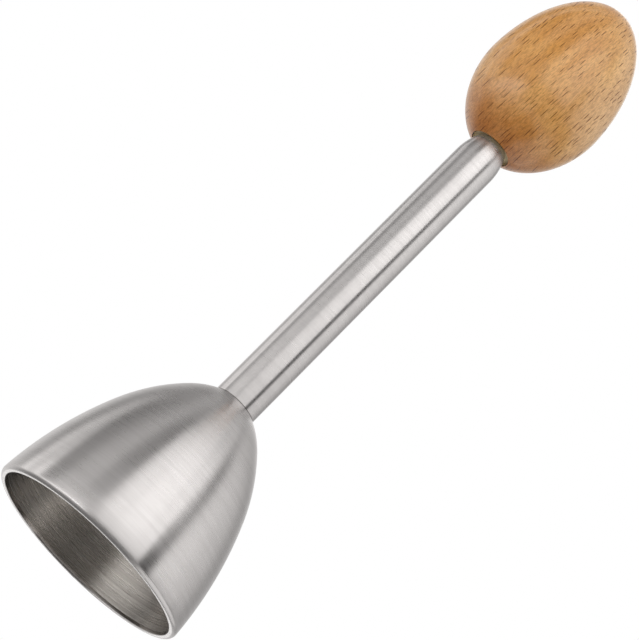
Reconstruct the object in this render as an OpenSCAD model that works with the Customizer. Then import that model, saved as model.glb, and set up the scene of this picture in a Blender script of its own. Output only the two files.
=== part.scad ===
// Egg topper: a pull-and-release tool that cracks a clean ring round the top of a boiled egg.
// The bell goes over the egg, the wooden knob is pulled up against a spring and let go,
// and the striker on the knob's rod hits the anvil above the bell.
// The tool stands on the bell's rim: the rim plane is Z = 0 and Z runs up the axis.

/* [Bell] */
// Outer diameter of the bell at the rim
bell_d = 41.9; // [39:0.1:46]
// Height from the rim to the flat crown that the tube stands on
bell_h = 38; // [35:0.1:42]
// Thickness of the bell's steel
bell_wall = 1.35; // [1.15:0.05:1.6]
// Lean of the side at the rim, from the axis, in degrees
rim_lean = 2.7; // [1:0.1:5]
// Lean where the long side arc turns into the shoulder arc, in degrees
side_turn = 21.7; // [18:0.1:26]
// Lean where the shoulder arc turns into the crown arc, in degrees
shoulder_turn = 41; // [37:0.1:46]
// Lean of the crown where it meets the tube, in degrees
crown_lean = 60; // [56:0.5:64]
// Radius of the crown arc, next to the tube
crown_round = 18; // [14:0.1:22]
// Radius rolled on the outer edge of the rim
rim_round = 0.8; // [0.4:0.05:0.9]
// Radius broken on the inner edge of the rim
mouth_round = 0.15; // [0.05:0.05:0.2]
// Flat left on the crown outside the tube
crown_land = 0.2; // [0.1:0.1:0.6]

/* [Tube] */
// Outer diameter of the tube
tube_d = 8.9; // [8:0.1:10]
// Thickness of the tube's steel
tube_wall = 0.7; // [0.5:0.05:0.9]
// Length of the tube, from the crown to its mouth
tube_len = 72.6; // [68:0.1:90]
// Length of the rounded nose at the mouth
nose_len = 5.4; // [4:0.1:7]
// Outer diameter that the nose is drawn down to at the mouth
mouth_d = 6.6; // [6:0.1:7]

/* [Knob] */
// Largest diameter of the egg-shaped knob
egg_d = 27; // [24:0.1:32]
// Height of the blunt half, below the widest ring
egg_low = 17; // [14:0.1:20]
// Height of the pointed half, above the widest ring
egg_high = 23.4; // [20:0.1:28]
// Fullness of the egg's outline, where 2 is a plain ellipse and less is slimmer
egg_full = 1.93; // [1.85:0.01:2.1]
// Diameter of the pocket that the tube's nose sits in
pocket_d = 8.8; // [8:0.1:9.5]
// Depth of the pocket's wall
pocket_depth = 0.75; // [0.5:0.05:2]
// Break on the pocket's edge
pocket_break = 0.15; // [0.05:0.05:0.3]
// Outer diameter of the brass insert
insert_d = 5.6; // [5:0.1:6.4]
// Length of the insert
insert_len = 10; // [8:0.5:12]
// Depth of the grooves that lock the insert in the wood
insert_groove = 0.3; // [0.1:0.05:0.5]

/* [Mechanism] */
// Diameter of the pull rod
rod_d = 3; // [2.5:0.1:3.4]
// Length that the rod screws into the striker
rod_grip = 10; // [6:0.5:12]
// Chamfer on the rod's ends
rod_chamfer = 0.3; // [0.1:0.1:0.5]
// How far the knob pulls up before the spring closes solid
pull_travel = 18; // [14:0.5:20]
// Length of the striker
striker_len = 16; // [14:0.5:20]
// Length of each guide land on the striker
striker_land = 3.5; // [2:0.5:5]
// Depth that the striker's waist is relieved to
waist_depth = 0.4; // [0.2:0.1:0.6]
// Chamfer on the striker, the anvil and the bush
edge_break = 0.4; // [0.2:0.1:0.6]
// Length of the anvil plug in the foot of the tube
anvil_len = 9; // [8.5:0.5:12]
// Straight length of the guide bush, below the tube's nose
bush_straight = 2; // [1:0.5:5]
// Thickness of the two spring washers
washer_t = 0.5; // [0.3:0.1:0.8]
// Wire of the spring
wire_d = 0.8; // [0.6:0.05:0.9]
// Pitch of the closer turns at each end of the spring
end_pitch = 1.3; // [1.3:0.05:1.5]

/* [Fasteners] */
// Thread of the screw that holds the bell
screw_d = 4; // [3:0.5:5]
// Length of the screw under its head
screw_len = 8; // [6:0.5:8]
// Diameter of the screw's button head
head_d = 7; // [6.5:0.1:7.4]
// Height of the head
head_h = 2.2; // [1.5:0.1:3]
// Size of the hexagon socket across its flats
socket_af = 2.5; // [2:0.5:3]
// Depth of the socket
socket_depth = 1.3; // [0.8:0.1:1.4]
// Thickness of the split lock washer
lock_t = 0.9; // [0.6:0.1:1.2]
// Width of the lock washer's section
lock_w = 1.3; // [1:0.1:1.4]

/* [Clearances] */
// Between the striker and the tube's bore, on the radius
striker_gap = 0.08; // [0.03:0.01:0.1]
// Between the rod and the bush, on the radius
rod_gap = 0.05; // [0.02:0.01:0.1]
// Between the rod and whatever it passes loosely, on the radius
loose_gap = 0.25; // [0.15:0.05:0.35]
// Between the striker and the anvil at rest
strike_gap = 0.1; // [0.05:0.05:0.3]
// Between the tube's mouth and the pocket's floor at rest
seat_gap = 0.3; // [0.2:0.05:0.6]
// Between the spring and the tube's bore, on the radius
spring_gap = 0.6; // [0.4:0.05:0.8]
// Between the screw and the bell's hole, on the radius
hole_gap = 0.2; // [0.1:0.05:0.3]
// Left beyond the end of a screw or rod in a blind hole
blind_gap = 1; // [0.5:0.5:1.5]

/* [Hidden] */
$fn = 96;
arc_steps = 12;
over = 1; // how far a cutting tool runs past the face that it opens

// Tube, from its foot up
tube_r = tube_d / 2;
bore_r = tube_r - tube_wall;
tube_top = bell_h + tube_len;
nose_z = tube_top - nose_len;
nose_drop = tube_r - mouth_d / 2;
nose_r = (nose_len * nose_len + nose_drop * nose_drop) / (2 * nose_drop);

// Bell: a long side arc, a shoulder arc and a crown arc, tangent where they meet.
// The crown arc's radius is given, and the other two follow from the draw and the height
// that it leaves between the rim and the crown.
crown_r = tube_r + crown_land;
side_span = cos(rim_lean) - cos(side_turn);
side_rise = sin(side_turn) - sin(rim_lean);
shoulder_span = cos(side_turn) - cos(shoulder_turn);
shoulder_rise = sin(shoulder_turn) - sin(side_turn);
draw_left = bell_d / 2 - crown_r - crown_round * (cos(shoulder_turn) - cos(crown_lean));
height_left = bell_h - crown_round * (sin(crown_lean) - sin(shoulder_turn));
arc_det = side_span * shoulder_rise - shoulder_span * side_rise;
side_r = (draw_left * shoulder_rise - height_left * shoulder_span) / arc_det;
shoulder_r = (height_left * side_span - draw_left * side_rise) / arc_det;
side_centre = [bell_d / 2 - side_r * cos(rim_lean), -side_r * sin(rim_lean)];
shoulder_centre = side_centre + polar(side_r - shoulder_r, side_turn);
crown_centre = shoulder_centre + polar(shoulder_r - crown_round, shoulder_turn);
bell_roof = bell_h - bell_wall;
hole_r = screw_d / 2 + hole_gap;

// Stack inside the tube, from the anvil up
anvil_top = bell_h + anvil_len;
striker_z = anvil_top + strike_gap;
striker_top = striker_z + striker_len;
spring_z = striker_top + washer_t;
bush_z = nose_z - bush_straight;
spring_end = bush_z - washer_t;
rod_r = rod_d / 2;
rod_z = striker_top - rod_grip;
washer_hole_r = rod_r + loose_gap;
washer_r = bore_r - loose_gap;

// Spring: as many turns as close solid at the end of the pull, a little closer at the ends
coil_r = bore_r - spring_gap - wire_d / 2;
spring_turns = floor((spring_end - spring_z - pull_travel) / wire_d) - 1;
coil_low = spring_z + wire_d / 2;
coil_high = spring_end - wire_d / 2;
free_pitch = (coil_high - coil_low - 2 * end_pitch) / (spring_turns - 2);
ring_count = 8;
wire_sides = 6;
coil_points = [for (i = [0:spring_turns * ring_count]) coil_point(i / ring_count)];

// Knob: the pocket's floor clears the tube's mouth, and the egg stands on the pocket's edge
pocket_r = pocket_d / 2;
pocket_floor = tube_top + seat_gap;
pocket_edge = pocket_floor - pocket_depth;
egg_r = egg_d / 2;
pocket_rise = egg_low * pow(1 - pow(pocket_r / egg_r, 2), 1 / egg_full);
egg_mid = pocket_edge + pocket_rise;
insert_top = pocket_floor + insert_len;

function polar(r, a) = [r * cos(a), r * sin(a)];

// Points of an arc about c, from angle a to angle b
function arc(c, r, a, b) = [for (i = [0:arc_steps]) c + polar(r, a + (b - a) * i / arc_steps)];

// Angle at which a circle of radius r about c reaches height z
function angle_at(c, r, z) = asin((z - c[1]) / r);

// Outline of the tube's nose, a distance inside its outer face, from the shoulder to the mouth
function nose_line(inset) =
    let (c = [tube_r - nose_r, nose_z], r = nose_r - inset)
    arc(c, r, 0, angle_at(c, r, tube_top));

// Outline of the egg between two stations, where -90 is the foot and 90 the tip
function egg_line(a, b, steps) = [
    for (i = [0:steps])
        let (t = a + (b - a) * i / steps, u = abs(sin(t)))
        [egg_r * sqrt(1 - pow(u, egg_full)), egg_mid + (t < 0 ? -egg_low : egg_high) * u]
];

// Height on the spring's line after so many turns
function coil_height(turn) =
    turn < 1 ? coil_low + end_pitch * turn :
    turn > spring_turns - 1 ? coil_high - end_pitch * (spring_turns - turn) :
    coil_low + end_pitch + free_pitch * (turn - 1);

function coil_point(turn) = [
    coil_r * cos(360 * turn), coil_r * sin(360 * turn), coil_height(turn)
];

// Ring of wire points round a place on the spring, square to its slope
function wire_ring(turn) =
    let (
        out = [cos(360 * turn), sin(360 * turn), 0],
        along = coil_point(turn + 0.01) - coil_point(turn - 0.01),
        up = cross(out, along) / norm(cross(out, along))
    )
    [for (k = [0:wire_sides - 1])
        coil_point(turn) + wire_d / 2 * (cos(360 * k / wire_sides) * up + sin(360 * k / wire_sides) * out)];

// Angle on the bell's side arc where a rolled edge of radius r runs into the wall that lies an
// inset inside the outer one: r is above 0 on the outer wall, and below 0 on the inner
function roll_angle(inset, r) = asin((abs(r) - side_centre[1]) / (side_r - inset - r));

// Rolled edge between that wall and the rim plane
function rim_roll(inset, r) =
    let (a = roll_angle(inset, r), c = side_centre + polar(side_r - inset - r, a))
    r > 0 ? arc(c, r, -90, a) : arc(c, -r, 180 + a, 270);

// That wall, from its rolled edge up to a height on the crown
function bell_line(inset, r, high) =
    let (crown = crown_round - inset)
    concat(
        arc(side_centre, side_r - inset, roll_angle(inset, r), side_turn),
        arc(shoulder_centre, shoulder_r - inset, side_turn, shoulder_turn),
        arc(crown_centre, crown, shoulder_turn, angle_at(crown_centre, crown, high))
    );

function reverse(list) = [for (i = [len(list) - 1:-1:0]) list[i]];

module bell() {
    color("silver")
        rotate_extrude()
            polygon(concat(
                rim_roll(0, rim_round),
                bell_line(0, rim_round, bell_h),
                [[hole_r, bell_h], [hole_r, bell_roof]],
                reverse(bell_line(bell_wall, -mouth_round, bell_roof)),
                rim_roll(bell_wall, -mouth_round)
            ));
}

module tube() {
    color("gainsboro")
        rotate_extrude()
            polygon(concat(
                [[bore_r, bell_h], [tube_r, bell_h]],
                nose_line(0),
                reverse(nose_line(tube_wall))
            ));
}

// Steel plug pressed into the foot of the tube: the striker hits its top, and the bell's
// screw goes into its foot
module anvil_plug() {
    color("slategray")
        difference() {
            translate([0, 0, bell_h])
                chamfered_bar(bore_r, anvil_len, 0, edge_break);
            translate([0, 0, bell_h - over])
                cylinder(h = over + screw_len - bell_wall - lock_t + blind_gap, d = screw_d);
        }
}

// Round bar along Z with a chamfer at its foot and at its top
module chamfered_bar(r, h, low, high) {
    rotate_extrude()
        polygon([
            [0, 0], [r - low, 0], [r, low], [r, h - high], [r - high, h], [0, h]
        ]);
}

// Button head screw, driven from inside the bell
module bell_screw() {
    under_head = bell_roof - lock_t;
    color("darkgray")
        difference() {
            union() {
                translate([0, 0, under_head])
                    chamfered_bar(screw_d / 2, screw_len, 0, rod_chamfer);
                translate([0, 0, under_head - head_h])
                    button_head();
            }
            translate([0, 0, under_head - head_h - over])
                cylinder(h = socket_depth + over, d = socket_af / cos(30), $fn = 6);
        }
}

// Domed head with its flat top downwards
module button_head() {
    flat_r = socket_af;
    land = head_h / 4;
    dome_drop = head_h - land;
    dome_in = head_d / 2 - flat_r;
    rotate_extrude()
        polygon(concat(
            [[0, head_h], [0, 0]],
            [for (i = [0:arc_steps]) let (a = 90 * i / arc_steps)
                [flat_r + dome_in * sin(a), dome_drop * (1 - cos(a))]],
            [[head_d / 2, head_h]]
        ));
}

// Spring ring of square section, cut through at one place
module lock_washer() {
    split_angle = 8;
    color("dimgray")
        translate([0, 0, bell_roof - lock_t])
            rotate([0, 0, split_angle / 2])
                rotate_extrude(angle = 360 - split_angle)
                    translate([hole_r, 0])
                        square([lock_w, lock_t]);
}

// Moulded bush that fills the tube's nose and guides the rod
module guide_bush() {
    guide_r = rod_r + rod_gap;
    color("ivory")
        rotate_extrude()
            polygon(concat(
                [[guide_r + edge_break, bush_z], [bore_r, bush_z]],
                nose_line(tube_wall),
                [[guide_r, tube_top], [guide_r, bush_z + edge_break]]
            ));
}

module spring_washer(z) {
    color("lightgray")
        translate([0, 0, z])
            difference() {
                cylinder(h = washer_t, r = washer_r);
                translate([0, 0, -over])
                    cylinder(h = washer_t + 2 * over, r = washer_hole_r);
            }
}

module upper_washer() {
    spring_washer(spring_end);
}

module lower_washer() {
    spring_washer(striker_top);
}

module spring() {
    rings = len(coil_points);
    last = (rings - 1) * wire_sides;
    points = [for (i = [0:rings - 1]) each wire_ring(i / ring_count)];
    sides = [
        for (i = [0:rings - 2], k = [0:wire_sides - 1])
            let (
                a = i * wire_sides + k,
                b = i * wire_sides + (k + 1) % wire_sides,
                c = a + wire_sides,
                d = b + wire_sides
            )
            each [[a, b, d], [a, d, c]]
    ];
    ends = [for (k = [1:wire_sides - 2]) each [[0, k + 1, k], [last, last + k, last + k + 1]]];
    color("darkslategray")
        polyhedron(points = points, faces = concat(sides, ends));
}

// Steel weight on the foot of the rod, guided by a land at each end
module striker() {
    land_r = bore_r - striker_gap;
    waist_r = land_r - waist_depth;
    color("lightslategray")
        translate([0, 0, striker_z])
            difference() {
                rotate_extrude()
                    polygon([
                        [0, 0], [land_r - edge_break, 0], [land_r, edge_break],
                        [land_r, striker_land], [waist_r, striker_land + waist_depth],
                        [waist_r, striker_len - striker_land - waist_depth],
                        [land_r, striker_len - striker_land], [land_r, striker_len - edge_break],
                        [land_r - edge_break, striker_len], [0, striker_len]
                    ]);
                translate([0, 0, striker_len - rod_grip])
                    cylinder(h = rod_grip + over, r = rod_r);
            }
}

module pull_rod() {
    color("whitesmoke")
        translate([0, 0, rod_z])
            chamfered_bar(rod_r, insert_top - rod_z, rod_chamfer, rod_chamfer);
}

// Brass insert with locking grooves, pressed into the foot of the knob
module knob_insert() {
    groove_w = insert_len / 8;
    color("goldenrod")
        translate([0, 0, pocket_floor])
            difference() {
                chamfered_bar(insert_d / 2, insert_len, rod_chamfer, rod_chamfer);
                translate([0, 0, -over])
                    cylinder(h = insert_len + 2 * over, r = rod_r);
                for (level = [0.3, 0.6])
                    translate([0, 0, insert_len * level])
                        rotate_extrude()
                            translate([insert_d / 2 - insert_groove, 0])
                                square([insert_groove + over, groove_w]);
            }
}

// Turned beech egg, blunt end down, with a pocket for the tube's nose
module egg_knob() {
    foot = -asin(pow(1 - pow(pocket_r / egg_r, 2), 1 / egg_full));
    wall_r = pocket_r - pocket_break;
    color("burlywood")
        difference() {
            rotate_extrude()
                polygon(concat(
                    [[0, pocket_floor], [wall_r, pocket_floor], [wall_r, pocket_edge + pocket_break]],
                    egg_line(foot, 0, 3 * arc_steps),
                    egg_line(0, 90, 3 * arc_steps)
                ));
            translate([0, 0, pocket_floor - over])
                cylinder(h = insert_len + blind_gap + over, d = insert_d);
        }
}

// Least gap between the spring's turns, measured on its line half a turn or more apart
spring_rings = len(coil_points);
least_gap = min([
    for (i = [0:spring_rings - 1 - ring_count / 2], j = [i + ring_count / 2:spring_rings - 1])
        norm(coil_points[j] - coil_points[i]) - wire_d
]);
echo(least_spring_gap = least_gap);

bell();
tube();
anvil_plug();
bell_screw();
lock_washer();
guide_bush();
upper_washer();
spring();
lower_washer();
striker();
pull_rod();
knob_insert();
egg_knob();
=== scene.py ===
from math import asin, cos, degrees, hypot, pi, radians, sin, sqrt

import bmesh
import bpy
from mathutils import Matrix, Vector


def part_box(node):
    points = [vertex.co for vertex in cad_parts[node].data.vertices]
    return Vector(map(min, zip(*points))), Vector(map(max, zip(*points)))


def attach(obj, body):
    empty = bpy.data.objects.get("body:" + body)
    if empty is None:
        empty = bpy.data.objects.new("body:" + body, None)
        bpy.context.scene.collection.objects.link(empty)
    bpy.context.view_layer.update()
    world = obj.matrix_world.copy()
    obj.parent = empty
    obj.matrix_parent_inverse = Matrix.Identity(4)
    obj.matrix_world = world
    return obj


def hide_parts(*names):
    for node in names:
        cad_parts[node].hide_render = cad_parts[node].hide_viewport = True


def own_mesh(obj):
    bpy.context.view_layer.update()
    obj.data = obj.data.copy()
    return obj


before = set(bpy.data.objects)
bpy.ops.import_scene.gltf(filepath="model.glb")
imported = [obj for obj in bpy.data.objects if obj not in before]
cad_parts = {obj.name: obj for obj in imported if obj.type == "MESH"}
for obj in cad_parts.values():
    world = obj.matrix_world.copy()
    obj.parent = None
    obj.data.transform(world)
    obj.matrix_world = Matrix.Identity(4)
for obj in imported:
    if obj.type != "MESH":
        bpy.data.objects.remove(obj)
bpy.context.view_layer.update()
mm = 0.001


def inMetres(lengths, start=0.0):
    return [start + length * mm for length in lengths]


def feed(tree, socket, value):
    # a node's output is linked, a number or a colour is set
    if isinstance(value, bpy.types.NodeSocket):
        tree.links.new(value, socket)
    else:
        socket.default_value = value


def addNode(tree, kind, inputs=None, **settings):
    made = tree.nodes.new("ShaderNode" + kind)
    for key, value in settings.items():
        setattr(made, key, value)
    for key, value in (inputs or {}).items():
        feed(tree, made.inputs[key], value)
    return made


def maths(tree, operation, first, second=0.0):
    return addNode(tree, "Math", {0: first, 1: second}, operation=operation).outputs[0]


def vectorMaths(tree, operation, first, second):
    return addNode(tree, "VectorMath", {0: first, 1: second}, operation=operation).outputs[0]


def remap(tree, value, fromLow, fromHigh, toLow, toHigh):
    sockets = {"Value": value, "From Min": fromLow, "From Max": fromHigh, "To Min": toLow, "To Max": toHigh}
    return addNode(tree, "MapRange", sockets, interpolation_type="SMOOTHSTEP").outputs["Result"]


noiseReach = (0.3, 0.7)  # nearly all of a noise texture's values lie between these


def spreadNoise(tree, value, low=0.0, high=1.0):
    return remap(tree, value, *noiseReach, low, high)


def noise(tree, coords, seed, scale, detail, roughness):
    sockets = {"Vector": coords, "W": seed, "Scale": scale, "Detail": detail, "Roughness": roughness}
    return addNode(tree, "TexNoise", sockets, noise_dimensions="4D").outputs["Fac"]


def mixColour(tree, factor, low, high, blend="MIX"):
    sockets = {"Factor": factor, 6: low, 7: high}  # 6 and 7 are the colours A and B
    return addNode(tree, "Mix", sockets, data_type="RGBA", blend_type=blend).outputs[2]


def rgb(red, green, blue):
    return (red, green, blue, 1.0)


def objectSpot(tree):
    return addNode(tree, "TexCoord").outputs["Object"]


def objectPlace(tree):
    # the same spot as its X, Y and Z
    return addNode(tree, "SeparateXYZ", {0: objectSpot(tree)}).outputs


def newGroup(name, inputs, outputs):
    group = bpy.data.node_groups.new(name, "ShaderNodeTree")
    for key, value in inputs.items():
        socket = group.interface.new_socket(key, in_out="INPUT", socket_type="NodeSocketFloat")
        socket.default_value = value
    for key in outputs:
        group.interface.new_socket(key, in_out="OUTPUT", socket_type="NodeSocketFloat")
    return group, group.nodes.new("NodeGroupInput").outputs, group.nodes.new("NodeGroupOutput").inputs


def useGroup(tree, group, **values):
    return addNode(tree, "Group", values, node_tree=group).outputs


def newMaterial(name):
    made = bpy.data.materials.new(name)
    made.use_nodes = True
    tree = made.node_tree
    return made, tree, tree.nodes["Principled BSDF"]


def makeTurnedGrain():
    # fine lines that run round the Z axis, as a belt or a lathe leaves them
    settings = {"Across": 4.0, "Around": 0.2, "Seed": 0.0}
    group, given, out = newGroup("turnedGrain", settings, ["Streak", "Scratch"])
    sockets = {0: objectSpot(group), "Scale": 1 / mm}
    inMm = addNode(group, "VectorMath", sockets, operation="SCALE").outputs[0]
    stretch = addNode(group, "CombineXYZ", {
        "X": given["Around"], "Y": given["Around"], "Z": given["Across"],
    }).outputs[0]
    coords = vectorMaths(group, "MULTIPLY", inMm, stretch)
    feed(group, out["Streak"], noise(group, coords, given["Seed"], scale=0.3, detail=4.0, roughness=0.75))
    feed(group, out["Scratch"], noise(group, coords, given["Seed"], scale=1.0, detail=2.0, roughness=0.7))
    return group


def makeHandling():
    # faint uneven patches where hands and cloths have been
    group, given, out = newGroup("handling", {"Size": 12.0, "Seed": 0.0}, ["Patch"])
    scale = maths(group, "DIVIDE", 1 / mm, given["Size"])
    patch = noise(group, objectSpot(group), given["Seed"], scale, detail=4.0, roughness=0.55)
    feed(group, out["Patch"], patch)
    return group


turnedGrain = makeTurnedGrain()
handling = makeHandling()


def paintSeamShadow(tree, colour, look, foot):
    # a painted shadow line in the joint at the tube's foot, darkening the colour where contact shade falls
    full, gone = inMetres(look["seam"], foot)
    seam = remap(tree, objectPlace(tree)["Z"], full, gone, look["seamShadowShare"], 0.0)
    return mixColour(tree, seam, colour, look["seamShadowColour"])


def easeFoot(tree, band, radius):
    # the belt rounds the wall off a little towards the rim: a fall of distance squared over twice the radius
    below = maths(tree, "MAXIMUM", maths(tree, "SUBTRACT", band * mm, objectPlace(tree)["Z"]), 0.0)
    drop = maths(tree, "MULTIPLY", maths(tree, "MULTIPLY", below, below), -0.5 / (radius * mm))
    return addNode(tree, "Bump", {"Height": drop, "Strength": 1.0, "Distance": 1.0}).outputs["Normal"]


def makeSteel(name, look, seamShadowAt=None):
    made, tree, shader = newMaterial(name)
    grain = useGroup(tree, turnedGrain, Across=look["across"], Around=look["around"], Seed=look["seed"])
    patch = useGroup(tree, handling, Size=look["patchSize"], Seed=look["seed"])["Patch"]
    colour = mixColour(tree, spreadNoise(tree, grain["Streak"]), look["dark"], look["light"])
    # paints a shadow line into the colour at the joint, where contact shade falls
    if seamShadowAt is not None:
        colour = paintSeamShadow(tree, colour, look, seamShadowAt)
    feed(tree, shader.inputs["Base Color"], colour)
    uneven = look["streakRoughness"]
    streaky = spreadNoise(tree, grain["Scratch"], -uneven, uneven)
    rough = maths(tree, "ADD", spreadNoise(tree, patch, *look["roughness"]), streaky)
    feed(tree, shader.inputs["Roughness"], rough)
    bump = addNode(tree, "Bump", {
        "Height": grain["Scratch"], "Strength": look["bump"], "Distance": look["depth"] * mm,
    })
    if "easedFoot" in look:
        feed(tree, bump.inputs["Normal"], easeFoot(tree, *look["easedFoot"]))
    feed(tree, shader.inputs["Normal"], bump.outputs["Normal"])
    tangent = addNode(tree, "Tangent", direction_type="RADIAL", axis="Z")
    feed(tree, shader.inputs["Tangent"], tangent.outputs["Tangent"])
    shader.inputs["Metallic"].default_value = 1.0
    shader.inputs["Anisotropic"].default_value = look["spread"]
    shader.inputs["Anisotropic Rotation"].default_value = 0.25  # lengthwise glow, square to the grain
    return made


# across and around: how fine the grain is, up a piece and round it. patchSize and depth are in mm.
# roughness: its least and its most over the patches. spread: how far the grain draws a glow out.
bellLook = {
    "across": 5.0, "around": 0.18, "seed": 1.0, "patchSize": 14.0,
    "dark": rgb(0.565, 0.548, 0.542), "light": rgb(0.625, 0.608, 0.602),
    "roughness": (0.27, 0.30), "streakRoughness": 0.02,
    "bump": 0.12, "depth": 0.03, "spread": 0.93,
    "easedFoot": (5.0, 25.0),   # mm: how high it reaches above the rim, and its radius
}
insideLook = {
    "across": 6.0, "around": 0.06, "seed": 2.0, "patchSize": 18.0,
    "dark": rgb(0.40, 0.375, 0.35), "light": rgb(0.58, 0.555, 0.525),
    "roughness": (0.26, 0.30), "streakRoughness": 0.06,
    "bump": 0.6, "depth": 0.05, "spread": 0.92,
}
lipLook = {
    "across": 3.0, "around": 0.1, "seed": 8.0, "patchSize": 9.0,
    "dark": rgb(0.44, 0.42, 0.405), "light": rgb(0.52, 0.50, 0.485),
    "roughness": (0.12, 0.16), "streakRoughness": 0.02,
    "bump": 0.05, "depth": 0.02, "spread": 0.2,
}
rimLook = {
    "across": 3.0, "around": 0.3, "seed": 3.0, "patchSize": 8.0,
    "dark": rgb(0.62, 0.605, 0.60), "light": rgb(0.68, 0.665, 0.66),
    "roughness": (0.24, 0.28), "streakRoughness": 0.02,
    "bump": 0.05, "depth": 0.02, "spread": 0.4,
}
tubeLook = {
    "across": 5.0, "around": 0.3, "seed": 4.0, "patchSize": 10.0,
    "dark": rgb(0.585, 0.568, 0.562), "light": rgb(0.635, 0.618, 0.612),
    "roughness": (0.28, 0.31), "streakRoughness": 0.03,
    "bump": 0.15, "depth": 0.03, "spread": 0.85,
    "seam": (0.16, 0.30),   # mm above the tube's foot over which the painted shadow line fades
    # the painted shadow's colour and how much of it is laid on at the foot
    "seamShadowColour": rgb(0.10, 0.095, 0.09), "seamShadowShare": 0.85,
}
rodLook = {
    "across": 8.0, "around": 0.2, "seed": 5.0, "patchSize": 8.0,
    "dark": rgb(0.62, 0.605, 0.60), "light": rgb(0.70, 0.685, 0.68),
    "roughness": (0.14, 0.2), "streakRoughness": 0.02,
    "bump": 0.1, "depth": 0.02, "spread": 0.5,
}
turnedLook = {
    "across": 5.0, "around": 0.2, "seed": 6.0, "patchSize": 6.0,
    "dark": rgb(0.42, 0.415, 0.41), "light": rgb(0.56, 0.555, 0.55),
    "roughness": (0.28, 0.36), "streakRoughness": 0.05,
    "bump": 0.3, "depth": 0.04, "spread": 0.7,
}
springLook = {
    "across": 6.0, "around": 0.6, "seed": 9.0, "patchSize": 4.0,
    "dark": rgb(0.40, 0.395, 0.39), "light": rgb(0.54, 0.535, 0.53),
    "roughness": (0.24, 0.32), "streakRoughness": 0.04,
    "bump": 0.15, "depth": 0.02, "spread": 0.3,
}
brassLook = {
    "across": 5.0, "around": 0.25, "seed": 7.0, "patchSize": 5.0,
    "dark": rgb(0.66, 0.46, 0.19), "light": rgb(0.83, 0.62, 0.30),
    "roughness": (0.25, 0.33), "streakRoughness": 0.04,
    "bump": 0.2, "depth": 0.03, "spread": 0.5,
}

bellSteel = makeSteel("bellSteel", bellLook)
insideSteel = makeSteel("insideSteel", insideLook)
rimSteel = makeSteel("rimSteel", rimLook)
lipSteel = makeSteel("lipSteel", lipLook)
# the tube's colour carries a painted shadow line at its foot, where it meets the bell
tubeSteel = makeSteel("tubeSteel", tubeLook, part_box("tube")[0].z)
rodSteel = makeSteel("rodSteel", rodLook)
turnedSteel = makeSteel("turnedSteel", turnedLook)
springSteel = makeSteel("springSteel", springLook)
insertBrass = makeSteel("insertBrass", brassLook)
print("metals made")


beechFigure = {
    "fleckCell": (0.72, 5.0, 2.3),     # mm between flecks: across the grain, into the wood, along it
    "fleckHalf": (0.08, 2.4, 1.05),    # half size of a fleck, the same three ways
    "fleckEdge": (0.75, 1.1),          # a fleck fades out between these shares of its half size
    "fleckChance": (0.1, 0.85), "fleckStrength": (0.15, 1.0),   # from the faint flecks to the dark ones
    "poreScale": (4.0, 1.5, 0.8), "bandScale": (0.30, 0.22, 0.04),   # per mm, the same three ways
    "cloudScale": 0.09,
    "grainTurn": (2.0, -3.0, 0.0),     # lean of the grain off the knob's axis, in degrees
}


def makeWoodFigure():
    # beech on its tangential face: short dark ray flecks along the grain, fine pores and broad bands
    figure = beechFigure
    group, given, out = newGroup("woodFigure", {"Seed": 0.0}, ["Fleck", "Pores", "Bands", "Cloud"])
    lean = [radians(a) for a in figure["grainTurn"]]
    turned = addNode(group, "Mapping", {
        "Vector": objectSpot(group), "Rotation": lean, "Scale": [1 / mm] * 3,
    }).outputs[0]
    cell = Vector(figure["fleckCell"])
    inCells = vectorMaths(group, "MULTIPLY", turned, [1 / c for c in cell])
    nearest = addNode(group, "TexVoronoi", {
        "Vector": inCells, "Scale": 1.0, "Randomness": 1.0,
    }, voronoi_dimensions="3D").outputs
    away = vectorMaths(group, "SUBTRACT", inCells, nearest["Position"])
    sized = vectorMaths(group, "MULTIPLY", away, [c / h for c, h in zip(cell, figure["fleckHalf"])])
    reach = addNode(group, "VectorMath", {0: sized}, operation="LENGTH").outputs["Value"]
    chance = addNode(group, "SeparateColor", {"Color": nearest["Color"]}).outputs[0]
    strength = remap(group, chance, *figure["fleckChance"], *figure["fleckStrength"])
    shape = remap(group, reach, *figure["fleckEdge"], 1.0, 0.0)
    poreCoords = vectorMaths(group, "MULTIPLY", turned, figure["poreScale"])
    bandCoords = vectorMaths(group, "MULTIPLY", turned, figure["bandScale"])
    seed = given["Seed"]
    feed(group, out["Fleck"], maths(group, "MULTIPLY", shape, strength))
    feed(group, out["Pores"], noise(group, poreCoords, seed, scale=1.0, detail=4.0, roughness=0.75))
    feed(group, out["Bands"], noise(group, bandCoords, seed, scale=1.0, detail=3.0, roughness=0.5))
    feed(group, out["Cloud"], noise(group, turned, seed, figure["cloudScale"], detail=2.0, roughness=0.5))
    return group


woodFigure = makeWoodFigure()

eggWood = {
    "bands": (0.35, 0.65), "clouds": (0.45, 0.7), "pores": (0.38, 0.6),   # part of each noise that counts
    "cloudShare": 0.6,
    "paintedLightAcross": (-3, 12),   # mm from the axis over which the painted light on the +X side comes in
    "sapUp": (3, 16),        # mm above the egg's foot over which it comes in
    "footUp": (-3, 9.5),     # mm above the egg's foot over which the painted shade goes out
    "depth": 0.03,           # mm of relief in pores and flecks
}
lacqueredLook = {
    "seed": 3.0,
    "pale": rgb(0.90, 0.490, 0.165), "deep": rgb(0.74, 0.345, 0.075), "red": rgb(0.70, 0.315, 0.080),
    # foot: the painted shade's colour, multiplied into the wood towards the egg's foot
    "fleck": rgb(0.170, 0.055, 0.006), "foot": rgb(0.70, 0.49, 0.33),
    # the painted light's tone and how much of it is laid on
    "sap": rgb(0.97, 0.67, 0.35), "paintedLightShare": 0.5,
    "pore": 0.38, "fleckShare": 1.0, "roughness": (0.42, 0.5), "gloss": 0.25, "bump": 0.08,
    "lacquer": (0.8, 0.2),   # on the wood and in its flecks
    "lacquerRoughness": 0.2, "lacquerIndex": 1.5,
}
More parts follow.
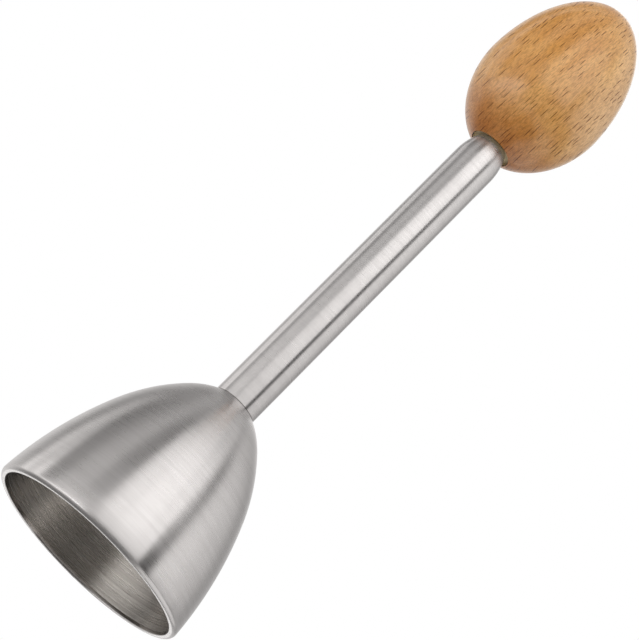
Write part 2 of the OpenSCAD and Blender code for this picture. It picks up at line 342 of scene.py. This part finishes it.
bareLook = {
    "seed": 3.0,
    "pale": rgb(0.88, 0.78, 0.54), "deep": rgb(0.82, 0.70, 0.46), "red": rgb(0.78, 0.64, 0.40),
    "fleck": rgb(0.52, 0.38, 0.21), "foot": rgb(0.98, 0.96, 0.93),
    "sap": rgb(0.88, 0.78, 0.56), "paintedLightShare": 0.3,
    "pore": 0.25, "fleckShare": 0.5, "roughness": (0.7, 0.85), "gloss": 0.3, "bump": 0.4,
}
# painted shade: the ring at the pocket's mouth is coloured near black to stand for the shadow in the gap
# round the tube's nose
pocketShadeLook = {
    "seed": 3.0,
    "pale": rgb(0.17, 0.105, 0.055), "deep": rgb(0.12, 0.07, 0.036), "red": rgb(0.12, 0.065, 0.033),
    "fleck": rgb(0.06, 0.035, 0.018), "foot": rgb(0.9, 0.85, 0.8),
    "sap": rgb(0.17, 0.105, 0.055), "paintedLightShare": 0.3,
    "pore": 0.3, "fleckShare": 0.5, "roughness": (0.75, 0.9), "gloss": 0.3, "bump": 0.4,
}


def makeBeech(name, look):
    made, tree, shader = newMaterial(name)
    wood = eggWood
    figure = useGroup(tree, woodFigure, Seed=look["seed"])
    place = objectPlace(tree)
    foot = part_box("egg_knob")[0].z
    bands = remap(tree, figure["Bands"], *wood["bands"], 0.0, 1.0)
    colour = mixColour(tree, bands, look["pale"], look["deep"])
    clouds = remap(tree, figure["Cloud"], *wood["clouds"], 0.0, wood["cloudShare"])
    colour = mixColour(tree, clouds, colour, look["red"])
    # painted light: the +X side and the upper egg are coloured paler, where more light falls and the soft
    # highlight sits
    side = remap(tree, place["X"], *inMetres(wood["paintedLightAcross"]), 0.0, look["paintedLightShare"])
    above = remap(tree, place["Z"], *inMetres(wood["sapUp"], foot), 0.0, 1.0)
    colour = mixColour(tree, maths(tree, "MULTIPLY", side, above), colour, look["sap"])
    pores = remap(tree, figure["Pores"], *wood["pores"], look["pore"], 0.0)
    colour = mixColour(tree, pores, colour, look["fleck"])
    flecks = maths(tree, "MULTIPLY", figure["Fleck"], look["fleckShare"])
    colour = mixColour(tree, flecks, colour, look["fleck"])
    # painted shade: the colour is multiplied darker towards the egg's foot, where less light falls
    shadeAtFoot = remap(tree, place["Z"], *inMetres(wood["footUp"], foot), 1.0, 0.0)
    feed(tree, shader.inputs["Base Color"], mixColour(tree, shadeAtFoot, colour, look["foot"], "MULTIPLY"))
    smooth, rough = look["roughness"]
    feed(tree, shader.inputs["Roughness"], spreadNoise(tree, figure["Pores"], rough, smooth))
    height = maths(tree, "SUBTRACT", figure["Pores"], figure["Fleck"])
    bump = addNode(tree, "Bump", {
        "Height": height, "Strength": look["bump"], "Distance": wood["depth"] * mm,
    })
    feed(tree, shader.inputs["Normal"], bump.outputs["Normal"])
    shader.inputs["Specular IOR Level"].default_value = look["gloss"]
    if "lacquer" in look:
        feed(tree, shader.inputs["Coat Weight"], remap(tree, figure["Fleck"], 0.0, 1.0, *look["lacquer"]))
        shader.inputs["Coat Roughness"].default_value = look["lacquerRoughness"]
        shader.inputs["Coat IOR"].default_value = look["lacquerIndex"]
    return made


lacqueredBeech = makeBeech("lacqueredBeech", lacqueredLook)
bareBeech = makeBeech("bareBeech", bareLook)
pocketShadeBeech = makeBeech("pocketShadeBeech", pocketShadeLook)

bushLook = {
    "dark": rgb(0.78, 0.76, 0.70), "light": rgb(0.84, 0.82, 0.77),
    "roughness": (0.38, 0.5), "patchSize": 2.0, "seed": 9.0, "milky": 0.1,
}


def makeAcetal(look):
    made, tree, shader = newMaterial("acetal")
    patch = useGroup(tree, handling, Size=look["patchSize"], Seed=look["seed"])["Patch"]
    colour = mixColour(tree, spreadNoise(tree, patch), look["dark"], look["light"])
    feed(tree, shader.inputs["Base Color"], colour)
    feed(tree, shader.inputs["Roughness"], spreadNoise(tree, patch, *look["roughness"]))
    shader.inputs["Subsurface Weight"].default_value = look["milky"]
    return made


acetal = makeAcetal(bushLook)
print("wood and plastic made")

sharpAngle = 40  # degrees: an edge that turns further is a sharp one


def arcPoints(centre, radius, start, end, steps):
    # points of an arc in the outline's plane, r across and z up, angles in degrees
    made = []
    for i in range(steps + 1):
        a = radians(start + (end - start) * i / steps)
        made.append((centre[0] + radius * cos(a), centre[1] + radius * sin(a)))
    return made


def spinOutline(outline, steps, closed=True, weld=0.0005):
    # turns an outline of (r, z) points in mm round the Z axis
    bm = bmesh.new()
    verts = [bm.verts.new((r * mm, 0, z * mm)) for r, z in outline]
    pairs = list(zip(verts, verts[1:])) + ([(verts[-1], verts[0])] if closed else [])
    edges = [bm.edges.new(pair) for pair in pairs]
    bmesh.ops.spin(bm, geom=verts + edges, cent=(0, 0, 0), axis=(0, 0, 1), angle=2 * pi, steps=steps,
                   use_merge=True, use_duplicate=False)
    bmesh.ops.remove_doubles(bm, verts=bm.verts, dist=weld * mm)
    bmesh.ops.recalc_face_normals(bm, faces=bm.faces)
    return bm


def sharpEdges(bm):
    return [e for e in bm.edges if len(e.link_faces) == 2 and degrees(e.calc_face_angle(0)) > sharpAngle]


def roundEdges(bm, size, segments):
    bmesh.ops.bevel(bm, geom=sharpEdges(bm), offset=size * mm, offset_type="OFFSET", affect="EDGES",
                    segments=segments, profile=0.5, material=-1, clamp_overlap=True)


def finishPiece(name, bm, materials, body, slot, *nodes, chooser=None):
    if chooser:
        for face in bm.faces:
            face.material_index = materials.index(chooser(face))
    for face in bm.faces:
        face.smooth = True
    for edge in sharpEdges(bm):
        edge.smooth = False
    mesh = bpy.data.meshes.new(name)
    bm.to_mesh(mesh)
    bm.free()
    for material in materials:
        mesh.materials.append(material)
    piece = bpy.data.objects.new(name, mesh)
    bpy.context.scene.collection.objects.link(piece)
    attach(piece, body)
    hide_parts(*nodes)
    return piece


def boxInMm(node):
    low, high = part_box(node)
    return low / mm, high / mm


bellSize = {
    "footRadius": 20.95, "wall": 1.35, "crownRound": 18.0,
    "rimLean": 2.7, "sideTurn": 21.7, "shoulderTurn": 41.0, "crownLean": 60.0,   # lean of the wall, degrees
    "rimRound": 0.8, "mouthRound": 0.15, "lipHeight": 1.1,
    "landWidth": 0.2, "holeRadius": 2.2, "crownFlat": 5.0,
    "arcSteps": 36, "rimSteps": 8, "mouthSteps": 4, "turnSteps": 192,
}


def bellArcs(size, height, crownRadius):
    # three tangent arcs from rim to crown
    leans = [radians(size[k]) for k in ("rimLean", "sideTurn", "shoulderTurn", "crownLean")]
    across = [cos(a) - cos(b) for a, b in zip(leans, leans[1:])]
    up = [sin(b) - sin(a) for a, b in zip(leans, leans[1:])]
    draw = size["footRadius"] - crownRadius - size["crownRound"] * across[2]
    rise = height - size["crownRound"] * up[2]
    det = across[0] * up[1] - across[1] * up[0]
    sideRound = (draw * up[1] - rise * across[1]) / det
    shoulderRound = (rise * across[0] - draw * up[0]) / det
    radii = [sideRound, shoulderRound, size["crownRound"]]
    centre = Vector((size["footRadius"] - radii[0] * cos(leans[0]), -radii[0] * sin(leans[0])))
    arcs = []
    for i, radius in enumerate(radii):
        if i:
            centre = centre + (radii[i - 1] - radius) * Vector((cos(leans[i]), sin(leans[i])))
        low, high = degrees(leans[i]), degrees(leans[i + 1])
        arcs.append({"centre": centre, "radius": radius, "low": low, "high": high})
    return arcs


def angleAt(centre, radius, z):
    return degrees(asin((z - centre[1]) / radius))


def rolledEdge(centre, reach, radius):
    # centre of a rolled rim edge and the angle where it meets the wall
    angle = degrees(asin((radius - centre[1]) / reach))
    return (centre[0] + reach * cos(radians(angle)), radius), angle


def makeBell():
    size = bellSize
    wall = size["wall"]
    height = boxInMm("bell")[1].z
    roof = height - wall
    side, shoulder, crown = bellArcs(size, height, boxInMm("tube")[1].x + size["landWidth"])
    outerRound, innerRound = size["rimRound"], size["mouthRound"]
    outer, outerAngle = rolledEdge(side["centre"], side["radius"] - outerRound, outerRound)
    inner, innerAngle = rolledEdge(side["centre"], side["radius"] - wall + innerRound, innerRound)
    topAngle = angleAt(crown["centre"], crown["radius"], height)
    roofAngle = angleAt(crown["centre"], crown["radius"] - wall, roof)

    def follow(arc, start, end, inset=0):
        return arcPoints(arc["centre"], arc["radius"] - inset, start, end, size["arcSteps"])

    outline = arcPoints(outer, outerRound, -90, outerAngle, size["rimSteps"])
    outline += follow(side, outerAngle, side["high"])[1:]
    outline += follow(shoulder, shoulder["low"], shoulder["high"])[1:]
    outline += follow(crown, crown["low"], topAngle)[1:]
    outline += [(size["holeRadius"], height), (size["holeRadius"], roof)]
    outline += follow(crown, roofAngle, crown["low"], wall)
    outline += follow(shoulder, shoulder["high"], shoulder["low"], wall)[1:]
    outline += follow(side, side["high"], innerAngle, wall)[1:]
    outline += arcPoints(inner, innerRound, 180 + innerAngle, 270, size["mouthSteps"])[1:]
    bm = spinOutline(outline, size["turnSteps"])

    def chooseFinish(face):
        middle = face.calc_center_median() / mm
        facesDown = face.normal.z < -0.5
        if facesDown and middle.z < innerRound:
            return rimSteel
        inside = face.normal.dot(Vector((middle.x, middle.y, 0))) < 0
        if inside and middle.z < size["lipHeight"]:
            return lipSteel
        underCrown = middle.z < roof and hypot(middle.x, middle.y) < size["crownFlat"]
        return insideSteel if inside or underCrown else bellSteel

    finishPiece("bellShell", bm, [bellSteel, insideSteel, rimSteel, lipSteel], "casing", "bell_steel",
                "bell", chooser=chooseFinish)


tubeSize = {
    "wall": 0.7, "noseLength": 5.4, "mouthRadius": 3.3, "lip": 0.12,
    "turnSteps": 128, "arcSteps": 24, "lipSteps": 3,
}


def noseArc(size, radius, top, inset):
    # the nose drawn in at the tube's mouth, an inset inside its outer face
    drop = radius - size["mouthRadius"]
    arc = (size["noseLength"] ** 2 + drop ** 2) / (2 * drop)
    centre = (radius - arc, top - size["noseLength"])
    return arcPoints(centre, arc - inset, 0, angleAt(centre, arc - inset, top), size["arcSteps"])


def makeTube():
    size = tubeSize
    low, high = boxInMm("tube")
    bore = high.x - size["wall"]
    outline = [(bore, low.z), (high.x, low.z)] + noseArc(size, high.x, high.z, 0)
    outline += reversed(noseArc(size, high.x, high.z, size["wall"]))
    bm = spinOutline(outline, size["turnSteps"])
    roundEdges(bm, size["lip"], size["lipSteps"])
    finishPiece("tubeSleeve", bm, [tubeSteel], "casing", "tube_steel", "tube")


knobSize = {
    "low": 17.0, "high": 23.4, "full": 1.93,   # from the widest place down and up, and how full the egg is
    "pocketRadius": 4.4, "pocketBreak": 0.15, "pocketDepth": 0.75,
    "insertRadius": 2.8, "insertDepth": 11.0, "turnSteps": 160, "arcSteps": 60,
}


def makeKnob():
    size = knobSize
    high = boxInMm("egg_knob")[1]
    radius = high.x
    middle = high.z - size["high"]
    floor = boxInMm("knob_insert")[0].z
    edge = floor - size["pocketDepth"]
    start = asin((1 - (size["pocketRadius"] / radius) ** 2) ** (1 / size["full"]))

    def eggPoint(angle):
        lift = abs(sin(angle))
        rise = size["high"] * lift if angle > 0 else -size["low"] * lift
        return radius * sqrt(max(0, 1 - lift ** size["full"])), middle + rise

    wall = size["pocketRadius"] - size["pocketBreak"]
    top = floor + size["insertDepth"]
    outline = [(0, top), (size["insertRadius"], top), (size["insertRadius"], floor), (wall, floor)]
    outline += [(wall, edge + size["pocketBreak"])]
    outline += [eggPoint(-start * (1 - i / size["arcSteps"])) for i in range(size["arcSteps"])]
    outline += [eggPoint(pi / 2 * i / size["arcSteps"]) for i in range(size["arcSteps"] + 1)]
    bm = spinOutline(outline, size["turnSteps"], closed=False)

    def chooseFinish(face):
        middleOfFace = face.calc_center_median() / mm
        reach = hypot(middleOfFace.x, middleOfFace.y)
        if reach > size["pocketRadius"] or middleOfFace.z > top + size["pocketBreak"]:
            return lacqueredBeech
        # the ring at the pocket's mouth takes the painted shade
        inPocket = reach < wall + size["pocketBreak"] / 4
        return bareBeech if inPocket else pocketShadeBeech

    finishPiece("eggKnob", bm, [lacqueredBeech, bareBeech, pocketShadeBeech], "plunger", "beech", "egg_knob",
                chooser=chooseFinish)


springSize = {
    "wire": 0.8, "endPitch": 1.3, "turns": 25,   # mm, and the number of turns
    "solid": 21.1,   # mm: its length at the end of the pull
    "turnSteps": 40, "wireSides": 16,
}


def makeSpring():
    # a screw-spun wire with a closer turn at each end
    size = springSize
    low, high = boxInMm("spring")
    wire = size["wire"] / 2
    bm = bmesh.new()
    start = Vector((high.x - wire, 0, low.z + wire)) * mm
    upright = Matrix.Translation(start) @ Matrix.Rotation(pi / 2, 4, "X")
    ring = bmesh.ops.create_circle(bm, segments=size["wireSides"], radius=wire * mm, matrix=upright)["verts"]
    geom = ring + list({e for v in ring for e in v.link_edges})
    freeTurns = size["turns"] - 2
    freePitch = (high.z - low.z - 2 * wire - 2 * size["endPitch"]) / freeTurns
    for turns, pitch in ((1, size["endPitch"]), (freeTurns, freePitch), (1, size["endPitch"])):
        spun = bmesh.ops.spin(bm, geom=geom, cent=(0, 0, 0), axis=(0, 0, 1), angle=2 * pi * turns,
                              steps=turns * size["turnSteps"], dvec=(0, 0, pitch * mm / size["turnSteps"]),
                              use_duplicate=False)
        geom = [g for g in spun["geom_last"] if not isinstance(g, bmesh.types.BMFace)]
    bmesh.ops.holes_fill(bm, edges=[e for e in bm.edges if e.is_boundary], sides=0)
    bmesh.ops.recalc_face_normals(bm, faces=bm.faces)
    coil = finishPiece("coilSpring", bm, [springSteel], "casing", "spring_steel", "spring")
    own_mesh(coil)


makeBell()
makeTube()
makeKnob()
makeSpring()
print("new pieces made")

nodeFinish = {
    "anvil_plug": turnedSteel, "bell_screw": rodSteel, "lock_washer": turnedSteel, "guide_bush": acetal,
    "upper_washer": rodSteel, "lower_washer": rodSteel, "striker": turnedSteel,
    "pull_rod": rodSteel, "knob_insert": insertBrass,
}
for name, material in nodeFinish.items():
    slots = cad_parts[name].data.materials
    slots.clear()
    slots.append(material)
print("inner pieces dressed")

floorLook = {"size": 4.0, "colour": rgb(0.86, 0.86, 0.85), "roughness": 0.9}   # size in metres


def makeFloor():
    bm = bmesh.new()
    bmesh.ops.create_grid(bm, x_segments=1, y_segments=1, size=floorLook["size"] / 2)
    mesh = bpy.data.meshes.new("studioFloor")
    bm.to_mesh(mesh)
    bm.free()
    made, tree, shader = newMaterial("paleFloor")
    shader.inputs["Base Color"].default_value = floorLook["colour"]
    shader.inputs["Roughness"].default_value = floorLook["roughness"]
    clear = addNode(tree, "BsdfTransparent")
    side = addNode(tree, "NewGeometry").outputs["Backfacing"]  # the floor shows only from above
    mixed = addNode(tree, "MixShader", {0: side, 1: shader.outputs[0], 2: clear.outputs[0]})
    feed(tree, tree.nodes["Material Output"].inputs["Surface"], mixed.outputs[0])
    mesh.materials.append(made)
    floor = bpy.data.objects.new("studioFloor", mesh)
    bpy.context.scene.collection.objects.link(floor)
    floor.visible_shadow = floor.visible_glossy = floor.visible_diffuse = False


studio = {
    "baseLevel": 0.82, "lightColour": rgb(1.0, 0.985, 0.975),
    "mapSize": 1024,   # pixels of the map by which the lights are sampled
}

# what stands round the tool: softboxes and dark screens, each laid over the ones before it.
# az runs from the camera's side towards +X and el up from level. soft and softEl are how far a
# card fades at its sides and at its foot and top. All are in degrees.
cards = [
    {"name": "ceiling", "az": (-180, 180), "el": (51, 130), "soft": 0.01, "softEl": 9, "level": 0.60},
    {"name": "backGlow", "az": (153, 183), "el": (24, 49), "soft": 2, "softEl": 13, "level": 2.2},
    {"name": "backScreen", "az": (-143, -74), "el": (18, 71), "soft": 14, "softEl": 21, "level": 0.0},
    {"name": "leftLowBox", "az": (-88, -13), "el": (-47, 26), "soft": 30, "softEl": 3, "level": 3.7},
    {"name": "leftScreen", "az": (-94, -12), "el": (-11, 74), "soft": 4, "softEl": 4, "level": 0.60},
    {"name": "frontShade", "az": (-29, 62), "el": (-29, 13), "soft": 10, "softEl": 2, "level": 0.0},
    {"name": "keyBox", "az": (-27, 54), "el": (-1, 58), "soft": 15, "softEl": 2, "level": 1.6},
    {"name": "keyTop", "az": (-10, 35), "el": (59, 73), "soft": 4, "softEl": 4, "level": 1.1},
    {"name": "darkStrip", "az": (40, 75), "el": (-12, 31), "soft": 1, "softEl": 2, "level": 0.02},
    {"name": "rightBox", "az": (56, 101), "el": (-4, 39), "soft": 5, "softEl": 7, "level": 1.2},
    {"name": "rightShade", "az": (65, 155), "el": (-25, 0), "soft": 2, "softEl": 2, "level": 0.0},
    {"name": "rightTop", "az": (58, 74), "el": (44, 58), "soft": 2, "softEl": 3, "level": 0.0},
    {"name": "backRight", "az": (117, 166), "el": (-27, 73), "soft": 22, "softEl": 19, "level": 0.45},
    {"name": "underShade", "az": (-180, 180), "el": (-130, -25), "soft": 0.01, "softEl": 12, "level": 0.22},
    {"name": "underFront", "az": (-79, 69), "el": (-38, -30), "soft": 2, "softEl": 2, "level": 1.1},
    {"name": "underRight", "az": (67, 148), "el": (-68, -16), "soft": 2, "softEl": 6, "level": 1.05},
    {"name": "leftSlit", "az": (-52, -28), "el": (30, 78), "soft": 3, "softEl": 2, "level": 0.15},
    {"name": "leftDark", "az": (-90, -75), "el": (0, 60), "soft": 5, "softEl": 6, "level": 0.32},
    {"name": "keyCore", "az": (0, 25), "el": (22, 45), "soft": 3, "softEl": 3, "level": 1.9},
    {"name": "leftEdge", "az": (-121, -113), "el": (-22, 77), "soft": 8, "softEl": 2, "level": 1.5},
    {"name": "rightEdge", "az": (89, 121), "el": (12, 76), "soft": 16, "softEl": 6, "level": 0.85},
    {"name": "rimGlow", "az": (170, 190), "el": (-28, -12), "soft": 3, "softEl": 3, "level": 1.3},
]
cardSockets = ["Below", "Azimuth", "Height", "Middle", "Half", "Soft", "Low", "High", "Fade", "Level"]


def makeCardGroup():
    # lays one card over what is below it
    group, given, out = newGroup("card", dict.fromkeys(cardSockets, 0.0), ["Light"])
    away = maths(group, "SUBTRACT", given["Azimuth"], given["Middle"])
    wrapped = addNode(group, "Math", {0: away, 1: 180.0, 2: -180.0}, operation="WRAP").outputs[0]

    def fade(value, limit, soft, start, end):
        edges = [maths(group, kind, given[limit], given[soft]) for kind in ("SUBTRACT", "ADD")]
        return remap(group, value, *edges, start, end)

    mask = fade(maths(group, "ABSOLUTE", wrapped), "Half", "Soft", 1.0, 0.0)
    for limit, start, end in (("Low", 0.0, 1.0), ("High", 1.0, 0.0)):
        mask = maths(group, "MULTIPLY", mask, fade(given["Height"], limit, "Fade", start, end))
    sockets = {0: mask, 2: given["Below"], 3: given["Level"]}  # 2 and 3 are the numbers A and B
    feed(group, out["Light"], addNode(group, "Mix", sockets, data_type="FLOAT").outputs[0])
    return group


def makeWorld():
    world = bpy.data.worlds.new("studioWorld")
    bpy.context.scene.world = world
    world.use_nodes = True
    tree = world.node_tree
    tree.nodes.clear()
    way = addNode(tree, "SeparateXYZ", {0: addNode(tree, "TexCoord").outputs["Generated"]}).outputs
    turn = maths(tree, "ARCTAN2", way["X"], maths(tree, "MULTIPLY", way["Y"], -1.0))
    azimuth = maths(tree, "DEGREES", turn)
    height = maths(tree, "DEGREES", maths(tree, "ARCSINE", way["Z"]))
    group = makeCardGroup()
    level = studio["baseLevel"]
    for card in cards:
        (left, right), (low, high) = card["az"], card["el"]
        shape = [(left + right) / 2, (right - left) / 2, card["soft"], low, high, card["softEl"]]
        values = dict(zip(cardSockets, [level, azimuth, height] + shape + [card["level"]]))
        level = addNode(tree, "Group", values, node_tree=group, label=card["name"]).outputs["Light"]
    light = addNode(tree, "Background", {"Color": studio["lightColour"], "Strength": level})
    white = addNode(tree, "Background", {"Color": rgb(1, 1, 1), "Strength": 1.0})
    seen = addNode(tree, "LightPath").outputs["Is Camera Ray"]
    mixed = addNode(tree, "MixShader", {0: seen, 1: light.outputs[0], 2: white.outputs[0]})
    addNode(tree, "OutputWorld", {"Surface": mixed.outputs[0]})
    world.cycles.sampling_method = "MANUAL"
    world.cycles.sample_map_resolution = studio["mapSize"]


view = {
    "tilt": 20.42, "roll": 44.85,   # degrees: the lens looks up at the rim and is rolled
    "place": (0.0, -426.68, -97.45),  # mm
    "focal": 2497.5, "frameLong": 640,   # focal length and longer side of the frame, in its pixels
    "sensor": 36.0,   # mm
    "clip": (0.01, 10.0),   # metres
}


def makeCamera():
    data = bpy.data.cameras.new("camera")
    data.sensor_width = view["sensor"]
    data.lens = view["focal"] * view["sensor"] / view["frameLong"]
    data.clip_start, data.clip_end = view["clip"]
    camera = bpy.data.objects.new("camera", data)
    bpy.context.scene.collection.objects.link(camera)
    tilt = Matrix.Rotation(radians(90 + view["tilt"]), 4, "X")
    roll = Matrix.Rotation(radians(view["roll"]), 4, "Z")
    camera.matrix_world = Matrix.Translation(Vector(view["place"]) * mm) @ tilt @ roll
    bpy.context.scene.camera = camera


makeFloor()
makeWorld()
makeCamera()
bpy.context.scene.view_settings.view_transform = "Standard"
print("studio made")
